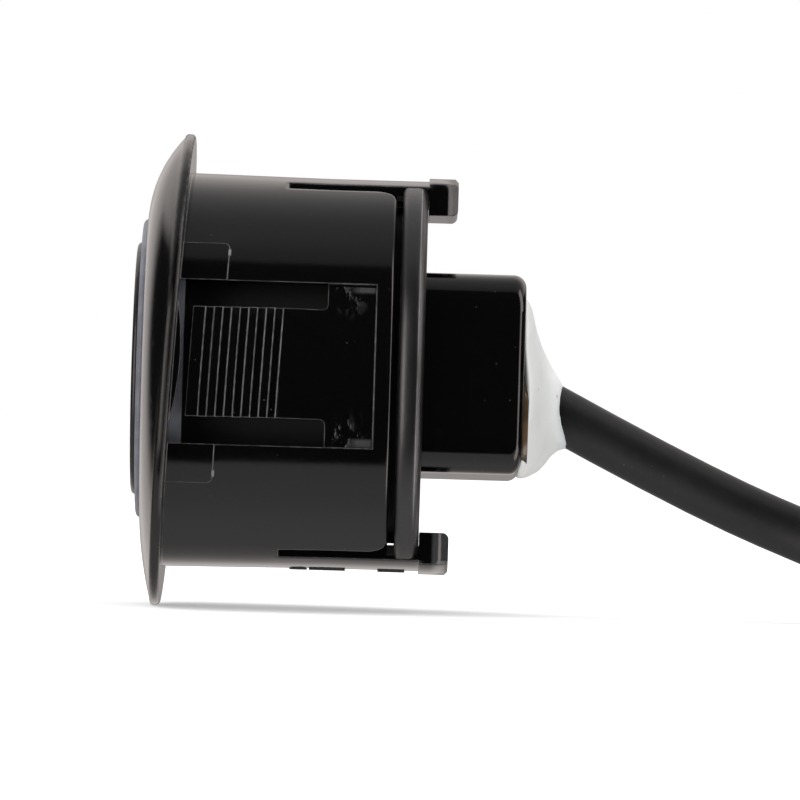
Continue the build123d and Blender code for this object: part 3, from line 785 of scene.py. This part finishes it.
class SENSOR_OT_coil_tie(bpy.types.Operator):
    """Cable tie round the coil, with its head and a cut tail"""

    bl_idname = "sensor.coil_tie"
    bl_label = "Coil tie"

    # in millimetres, along the strap's slope, across the strap and away from it
    HEAD_SIZE = (4.2, 4.4, 2.9)
    TAIL_SIZE = (1.0, TIE_WIDTH - 0.5, 1.6)

    def execute(self, context):
        deselect_all()
        angle = radians(TIE_ANGLE)
        out = Vector((cos(angle), sin(angle), 0))
        along = Vector((-sin(angle), cos(angle), 0))
        rows = CABLE_DIAMETER * COIL_ROWS
        inset = 0.12  # how far the strap sinks into the cable
        outline = [
            (COIL_INNER + inset, rows / 2),
            (COIL_INNER + inset, inset),
            (COIL_OUTER - inset, inset),
            (COIL_OUTER - inset, rows + CABLE_DIAMETER - inset),
            (COIL_OUTER - TOP_TURN_WIDTH - 0.3, rows + CABLE_DIAMETER - inset),
            (COIL_OUTER - TOP_TURN_WIDTH - 2.5, rows + 0.9),
            (COIL_INNER + inset, rows - inset),
        ]
        centre = Vector((*COIL_CENTRE, FLOOR))
        corners = [centre + out * radius + Vector((0, 0, height)) for radius, height in outline]
        strap = self.add_strap(corners, angle)
        slope = (corners[-2] - corners[-1]).normalized()
        lift = slope.cross(along).normalized()
        if lift.z < 0:
            lift = -lift
        head_at = corners[-1] + slope * 4.2 + lift * 1.0
        turn = Matrix((slope, along, lift)).transposed().to_euler()
        head = self.add_head(head_at, turn, slope, lift)
        tail = self.add_tail(head_at + lift * 1.6, turn, along, lift)
        nylon = satin_plastic("tie_nylon", (0.006, 0.006, 0.0065), 0.3)
        for piece in (strap, head, tail):
            wear(piece, nylon)
            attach(piece, "root")
        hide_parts("coil_tie")
        return {"FINISHED"}

    def add_strap(self, corners, angle):
        """A line across the strap, drawn once round the corners and thickened."""
        first = corners[0]
        bpy.ops.mesh.primitive_plane_add(size=(TIE_WIDTH - 0.4) * MM, location=(0, 0, 0))
        strap = begin("tie_strap")
        bpy.ops.mesh.select_all(action="SELECT")
        bpy.ops.transform.resize(value=(0, 1, 1))
        bpy.ops.mesh.remove_doubles(threshold=1e-6)
        strap.matrix_world = Matrix.Translation(mm(*first)) @ Matrix.Rotation(angle, 4, "Z")
        settle()
        bpy.ops.mesh.select_all(action="SELECT")
        at = first
        for corner in corners[1:] + [first]:
            bpy.ops.mesh.extrude_region_move(TRANSFORM_OT_translate={"value": mm(*(corner - at))})
            at = corner
        bpy.ops.mesh.select_all(action="SELECT")
        bpy.ops.mesh.remove_doubles(threshold=1e-5)
        bpy.ops.mesh.normals_make_consistent(inside=False)
        bends = {"width": 1.25 * MM, "segments": 5, "limit_method": "ANGLE"}
        rims = {"width": 0.08 * MM, "segments": 2, "limit_method": "ANGLE"}
        modifiers = [
            ("BEVEL", {**bends, "angle_limit": radians(8)}),
            ("SOLIDIFY", {"thickness": TIE_DEPTH * 0.8 * MM, "offset": -1.0}),
            ("BEVEL", {**rims, "angle_limit": radians(60)}),
        ]
        complete(strap, modifiers)
        return strap

    def add_head(self, at, turn, slope, lift):
        """A block with a sunken top and a mouth for the strap."""
        bpy.ops.mesh.primitive_cube_add(size=MM, location=mm(*at), rotation=turn)
        head = begin("tie_head")
        head.scale = self.HEAD_SIZE
        settle()
        pick_faces(head, at, lift, 1.2)
        bpy.ops.mesh.inset(thickness=0.7 * MM, depth=0)
        bpy.ops.mesh.extrude_region_move(TRANSFORM_OT_translate={"value": mm(*(lift * -0.7))})
        pick_faces(head, at, slope, 2.0)
        bpy.ops.mesh.inset(thickness=0.55 * MM, depth=0)
        bpy.ops.mesh.extrude_region_move(TRANSFORM_OT_translate={"value": mm(*(slope * -0.5))})
        bpy.ops.mesh.select_all(action="SELECT")
        bpy.ops.mesh.normals_make_consistent(inside=False)
        complete(head, [("BEVEL", {"width": 0.22 * MM, "segments": 3, "limit_method": "ANGLE"})])
        return head

    def add_tail(self, at, turn, along, lift):
        """The strap's end, cut off close to the head and a little askew."""
        bpy.ops.mesh.primitive_cube_add(size=MM, location=mm(*at), rotation=turn)
        tail = begin("tie_tail")
        tail.scale = self.TAIL_SIZE
        settle()
        pick_faces(tail, at, lift, 0.7)
        bpy.ops.mesh.inset(thickness=0.12 * MM, depth=0)
        bpy.ops.transform.translate(value=mm(*(along * 0.06)))
        complete(tail, [("BEVEL", {"width": 0.1 * MM, "segments": 2, "limit_method": "ANGLE"})])
        return tail


def swollen(value, roundness):
    """A point of a unit circle, moved out towards the corner of its square."""
    return (1 if value > 0 else -1) * abs(value) ** roundness


class SENSOR_OT_sealant(bpy.types.Operator):
    """White sealant drawn out by hand from the housing's back to the cable"""

    bl_idname = "sensor.sealant"
    bl_label = "Sealant"

    # top and bottom of each ring in side view (x, z), its width, its middle's set-back and
    # its roundness, 1 for an ellipse and less for squarer corners, all in millimetres
    RINGS = [
        ((19.02, 4.40), (18.80, -5.30), 10.6, 0.0, 0.6),
        ((19.20, 4.62), (19.00, -5.52), 12.5, 0.0, 0.6),
        ((19.48, 4.00), (19.44, -5.48), 11.2, 0.0, 0.65),
        ((19.76, 2.95), (20.05, -5.17), 8.9, 0.05, 0.8),
        ((20.17, 1.78), (20.50, -4.75), 6.7, 0.1, 0.9),
        ((20.57, 1.03), (20.90, -4.16), 5.1, 0.2, 1.0),
        ((20.97, 0.42), (21.34, -3.82), 4.1, 0.3, 1.0),
        ((21.36, -0.14), (21.84, -3.78), 3.42, 0.4, 1.0),
        ((21.62, -0.36), (22.04, -3.85), 3.22, 0.5, 1.0),
        ((21.52, -0.55), (21.90, -3.62), 2.9, 0.5, 1.0),
    ]

    # where a finger or nozzle moved the skin, by how much and how far round, in millimetres
    PUSHES = [
        ((19.2, -6.2, -1.3), (0.42, 0, 0.0), 3.5),
        ((19.25, -4.7, -4.9), (-0.05, -0.65, -0.45), 2.4),
        ((19.45, 0.0, 4.25), (0.10, 0, -0.28), 0.7),
        ((19.42, -1.5, 3.9), (0.22, -0.1, 0.05), 0.9),
        ((19.6, -4.2, 1.2), (0.1, -0.25, 0.0), 1.6),
        ((19.7, -3.6, -3.6), (0.15, -0.2, -0.05), 1.5),
        ((20.3, -2.4, -0.8), (0.05, 0.12, 0.0), 1.2),
        ((19.6, 3.9, 1.9), (0.2, 0.2, 0.0), 1.8),
        ((19.7, 3.8, -3.2), (0.05, 0.3, -0.1), 1.4),
    ]

    def execute(self, context):
        sizes = context.scene.sensor_sealant
        deselect_all()
        blob = None
        for top, bottom, width, back, roundness in self.RINGS:
            high, low = Vector((top[0], 0, top[1])), Vector((bottom[0], 0, bottom[1]))
            middle, across = (high + low) / 2, high - low
            half, up = across.length / 2, across.normalized()
            near = Vector((0, -1, 0))
            turn = Matrix((up, near, up.cross(near))).transposed().to_euler()
            bpy.ops.mesh.primitive_circle_add(
                vertices=sizes.ring_points, radius=half * MM, location=mm(*middle), rotation=turn
            )
            if blob is None:
                blob = begin("sealant")
                settle()
                bpy.ops.mesh.select_all(action="SELECT")
            mesh = bmesh.from_edit_mesh(blob.data)
            for point in (v for v in mesh.verts if v.select):
                from_middle = point.co / MM - middle
                along, aside = from_middle.dot(up) / half, from_middle.y / half
                point.co = mm(*(middle + across / 2 * swollen(along, roundness)))
                point.co.y = swollen(aside, roundness) * width / 2 * MM
                bulge = 1 - along * along
                point.co.x -= back * bulge * MM
            bmesh.update_edit_mesh(blob.data)
        bpy.ops.mesh.select_all(action="SELECT")
        bpy.ops.mesh.bridge_edge_loops()
        bpy.ops.mesh.select_all(action="SELECT")
        bpy.ops.mesh.fill_holes(sides=0)
        outward(blob)
        for at, move, reach in self.PUSHES:
            self.push(blob, at, move, reach)
        wave = bpy.data.textures.new("sealant_waves", "CLOUDS")
        wave.noise_scale = 0.0016
        smooth = ("SUBSURF", {"levels": 2, "render_levels": 2})
        waves = ("DISPLACE", {"texture": wave, "strength": sizes.unevenness, "mid_level": 0.5})
        complete(blob, [smooth, waves], 180)
        wear(blob, sealant_white("sealant_white"))
        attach(blob, "root")
        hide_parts("cable_seal")
        return {"FINISHED"}

    def push(self, blob, at, move, reach):
        """Moves the skin near a point, less the farther it is."""
        mesh = bmesh.from_edit_mesh(blob.data)
        centre = mm(*at)
        for vertex in mesh.verts:
            share = max(0.0, 1 - (vertex.co - centre).length / (reach * MM))
            vertex.co += mm(*move) * share * share * (3 - 2 * share)
        bmesh.update_edit_mesh(blob.data)


class SENSOR_OT_mouldings(bpy.types.Operator):
    """Finish the bezel, the housing and the keeper ring"""

    bl_idname = "sensor.mouldings"
    bl_label = "Mouldings"

    def execute(self, context):
        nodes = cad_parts
        wear(nodes["bezel"], gloss_plastic("bezel_gloss", clip_marks=True))
        wear(nodes["sensor_housing"], gloss_plastic("housing_gloss"))
        keeper = satin_plastic(
            "keeper_satin", (0.0085, 0.008, 0.0095), 0.34, crown=(0.01295, 0.0007), edge=0.0004
        )
        wear(nodes["keeper_ring"], keeper)
        return {"FINISHED"}


class SENSOR_OT_sensing_face(bpy.types.Operator):
    """Finish the silicone ring, the sensing cup and what is sealed in it"""

    bl_idname = "sensor.sensing_face"
    bl_label = "Sensing face"

    def execute(self, context):
        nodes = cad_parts
        look = context.scene.sensor_plastic
        ring = soft_silicone("ring_silicone", look.silicone[:], (0.34, 0.37, 0.44))
        wear(nodes["silicone_ring"], ring)
        wear(nodes["sensing_cup"], satin_plastic("cup_paint", (0.01, 0.01, 0.011), 0.32, 0.00002))
        wear(nodes["piezo_disc"], satin_plastic("piezo_ceramic", (0.62, 0.6, 0.52), 0.6))
        wear(nodes["damping_disc"], cork_disc("cork"))
        wear(nodes["cup_filling"], soft_silicone("filling", (0.5, 0.5, 0.48), (0.7, 0.7, 0.68)))
        return {"FINISHED"}


class SENSOR_OT_electronics(bpy.types.Operator):
    """Finish the board, its parts, the wires and the potting resin"""

    bl_idname = "sensor.electronics"
    bl_label = "Electronics"

    def execute(self, context):
        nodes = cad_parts
        brass = drawn_metal("contact_brass", (0.72, 0.5, 0.2))
        for name in ("contact_pins", "piezo_leads", "plug_contacts"):
            wear(nodes[name], brass)
        wear(nodes["chip_legs"], drawn_metal("leg_tin", (0.62, 0.62, 0.62), 0.28))
        wear(nodes["circuit_board"], board_green("board_green"))
        ferrite = satin_plastic("ferrite", (0.035, 0.033, 0.033), 0.55, 0.00003)
        wear(nodes["transformer_core"], ferrite)
        wear(nodes["transformer_winding"], wound_wire("winding_copper"))
        chip = satin_plastic("chip_epoxy", (0.012, 0.012, 0.012), 0.55)
        for name in ("driver_chip", "resistors"):
            wear(nodes[name], chip)
        wear(nodes["capacitors"], satin_plastic("capacitor_tan", (0.36, 0.25, 0.14), 0.5))
        wear(nodes["core_wires"], satin_plastic("wire_red", (0.2, 0.012, 0.01), 0.4))
        wear(nodes["potting_resin"], amber_resin("resin_amber"))
        wear(nodes["plug_housing"], satin_plastic("plug_nylon", (0.012, 0.012, 0.013), 0.36))
        return {"FINISHED"}


class SENSOR_OT_studio(bpy.types.Operator):
    """Camera at the picture's angle, white floor, overhead lamp and surroundings"""

    bl_idname = "sensor.studio"
    bl_label = "Studio"

    def execute(self, context):
        sizes = context.scene.sensor_studio
        scene = context.scene
        scene.view_settings.view_transform = "Standard"
        lens = bpy.data.cameras.new("camera")
        lens.sensor_width = 36.0
        lens.lens = lens.sensor_width * sizes.distance / sizes.picture_width
        lens.clip_start, lens.clip_end = 0.01, 50
        camera = bpy.data.objects.new("camera", lens)
        scene.collection.objects.link(camera)
        right = Vector((cos(sizes.roll), 0, sin(sizes.roll)))
        up = Vector((-sin(sizes.roll), 0, cos(sizes.roll)))
        back = Vector((0, -1, 0))
        turn = Matrix((right, up, back)).transposed().to_4x4()
        spot = Vector((sizes.centre_x, -sizes.distance, sizes.centre_z))
        camera.matrix_world = Matrix.Translation(spot) @ turn
        scene.camera = camera

        deselect_all()
        bpy.ops.mesh.primitive_circle_add(
            vertices=96, radius=sizes.floor_radius, fill_type="NGON", location=(0, 0, FLOOR * MM)
        )
        floor = bpy.context.object
        floor.name = "floor"
        wear(floor, self.floor_finish())

        lamp = bpy.data.lights.new("overhead", "AREA")
        lamp.shape, lamp.size, lamp.size_y = "RECTANGLE", 0.7, 0.5
        lamp.energy = sizes.key_power
        overhead = bpy.data.objects.new("overhead", lamp)
        overhead.location = (0.02, 0.05, 0.6)
        overhead.visible_glossy = False
        scene.collection.objects.link(overhead)
        self.surroundings(scene)
        return {"FINISHED"}

    def floor_finish(self):
        """White to the camera except in shadow, and clear to reflections, which meet the
        surroundings."""
        material, finish = new_finish("floor_white")
        rays = finish.node("ShaderNodeLightPath").socket.node
        seen = Reading(finish, rays.outputs["Is Camera Ray"])
        mirrored = Reading(finish, rays.outputs["Is Glossy Ray"])
        paper = finish.noise(3, 2)
        tint = finish.blend(paper, (0.8, 0.8, 0.8), (0.82, 0.82, 0.82))
        matt = finish.node("ShaderNodeBsdfDiffuse", None, {"Color": tint})
        glow = finish.node("ShaderNodeEmission", None, {"Color": (1, 1, 1, 1), "Strength": 0.36})
        lit = finish.node("ShaderNodeAddShader", None, {0: matt, 1: glow})
        clear = finish.node("ShaderNodeBsdfTransparent")
        shown = finish.node("ShaderNodeMixShader", None, {0: seen, 1: matt, 2: lit})
        both = finish.node("ShaderNodeMixShader", None, {0: mirrored, 1: shown, 2: clear})
        finish.node("ShaderNodeOutputMaterial", None, {"Surface": both})
        return material

    def surroundings(self, scene):
        """White all round to the camera, even light for matt surfaces, and for reflections a
        pale back that is brighter on the left, a ceiling and a floor, a soft box on each side,
        and a dark room behind the camera."""
        world = bpy.data.worlds.new("surroundings")
        scene.world = world
        world.use_nodes = True
        finish = Finish(world.node_tree)
        x, y, z = finish.axes(finish.node("ShaderNodeTexCoord", out="Generated"))
        flat = finish.node("ShaderNodeMath", {"operation": "SQRT"}, {0: x * x + y * y + 1e-6})
        back_to_height = y / abs(z).maximum(1e-4)
        climb = z / flat
        wide = 1 - (abs(x) / abs(z).maximum(1e-4)).rise(2.0, 2.8)
        behind = (y / flat).rise(0.74, 0.88) * (1 - abs(climb).rise(0.4, 1.0))
        behind_level = 0.34 + 0.3 * climb.rise(-0.1, 0.35)
        left = (0 - x / flat).rise(0.04, 0.25) * (1 - 0.7 * climb.rise(0, 0.35))
        behind_level = behind_level + 0.55 * left
        ceiling = (z > 0) * wide * back_to_height.rise(-0.46, -0.38)
        ceiling_level = 0.28 + 0.13 * back_to_height.rise(-0.4, 0)
        ceiling_level = ceiling_level + 0.59 * back_to_height.rise(0, 1.5)
        ceiling_level = ceiling_level - 0.5 * back_to_height.rise(2, 6)
        ground = (1 - (z > 0)) * wide * back_to_height.rise(-0.76, -0.66)
        ground_level = 0.65 - 0.26 * back_to_height.rise(0, 0.75)
        ground_level = ground_level + 0.5 * back_to_height.rise(1, 2.6)
        ground_level = ground_level - 0.7 * back_to_height.rise(4, 9)
        ahead = -1 * y / flat
        right_box = (x > 0) * ahead.between(-0.2, -0.1, 0.3, 0.4)
        right_box = right_box * (1 - abs(climb).rise(1.0, 1.6))
        left_box = (1 - (x > 0)) * ahead.between(0.42, 0.55, 0.88, 0.93)
        left_box = left_box * (1 - abs(climb).rise(0.55, 0.85))
        right_level, left_level, room = 3.2, 3.4, 0.02
        level = (behind * behind_level).maximum(ceiling * ceiling_level)
        level = level.maximum(ground * ground_level)
        level = level.maximum(right_box * right_level).maximum(left_box * left_level)
        level = level.maximum(room)
        rays = finish.node("ShaderNodeLightPath").socket.node
        seen = Reading(finish, rays.outputs["Is Camera Ray"])
        mirrored = Reading(finish, rays.outputs["Is Glossy Ray"])
        even = 0.84 + 0.12 * z
        strength = seen + (1 - seen) * (mirrored * level + (1 - mirrored) * even)
        warm = mirrored * (1 - abs(climb).rise(0.6, 2.2))
        tint = finish.blend(warm, (1, 1, 1), (1, 0.93, 0.9))
        shader = finish.node("ShaderNodeBackground", None, {"Color": tint, "Strength": strength})
        finish.node("ShaderNodeOutputWorld", None, {"Surface": shader})


class SENSOR_OT_declare(bpy.types.Operator):
    """Does nothing; it marks no piece as the cord."""

    bl_idname = "sensor.declare"
    bl_label = "Declare the cord"

    def execute(self, context):
        return {"FINISHED"}


OPERATORS = [
    SENSOR_OT_studio,
    SENSOR_OT_cable,
    SENSOR_OT_plug_boot,
    SENSOR_OT_coil_tie,
    SENSOR_OT_sealant,
    SENSOR_OT_mouldings,
    SENSOR_OT_sensing_face,
    SENSOR_OT_electronics,
    SENSOR_OT_declare,
]
GROUPS = {
    "sensor_cable": CableSizes,
    "sensor_sealant": SealantSizes,
    "sensor_plastic": PlasticFinish,
    "sensor_studio": StudioSizes,
}


class SENSOR_PT_panel(bpy.types.Panel):
    bl_idname = "SENSOR_PT_panel"
    bl_label = "Parking sensor"
    bl_space_type = "VIEW_3D"
    bl_region_type = "UI"
    bl_category = "Sensor"

    def draw(self, context):
        column = self.layout.column()
        for group, kind in GROUPS.items():
            column.label(text=group.replace("_", " ").capitalize())
            for name in kind.__annotations__:
                column.prop(getattr(context.scene, group), name)
        for operator in OPERATORS:
            column.operator(operator.bl_idname)


def register():
    for kind in (*GROUPS.values(), *OPERATORS, SENSOR_PT_panel):
        bpy.utils.register_class(kind)
    for name, kind in GROUPS.items():
        setattr(bpy.types.Scene, name, bpy.props.PointerProperty(type=kind))


def unregister():
    for name in GROUPS:
        delattr(bpy.types.Scene, name)
    for kind in (SENSOR_PT_panel, *reversed(OPERATORS), *reversed(GROUPS.values())):
        bpy.utils.unregister_class(kind)


def main():
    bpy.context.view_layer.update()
    register()
    bpy.ops.sensor.studio()
    bpy.ops.sensor.cable()
    bpy.ops.sensor.plug_boot()
    bpy.ops.sensor.coil_tie()
    bpy.ops.sensor.sealant()
    bpy.ops.sensor.mouldings()
    bpy.ops.sensor.sensing_face()
    bpy.ops.sensor.electronics()
    bpy.ops.sensor.declare()


if __name__ == "__main__":
    main()
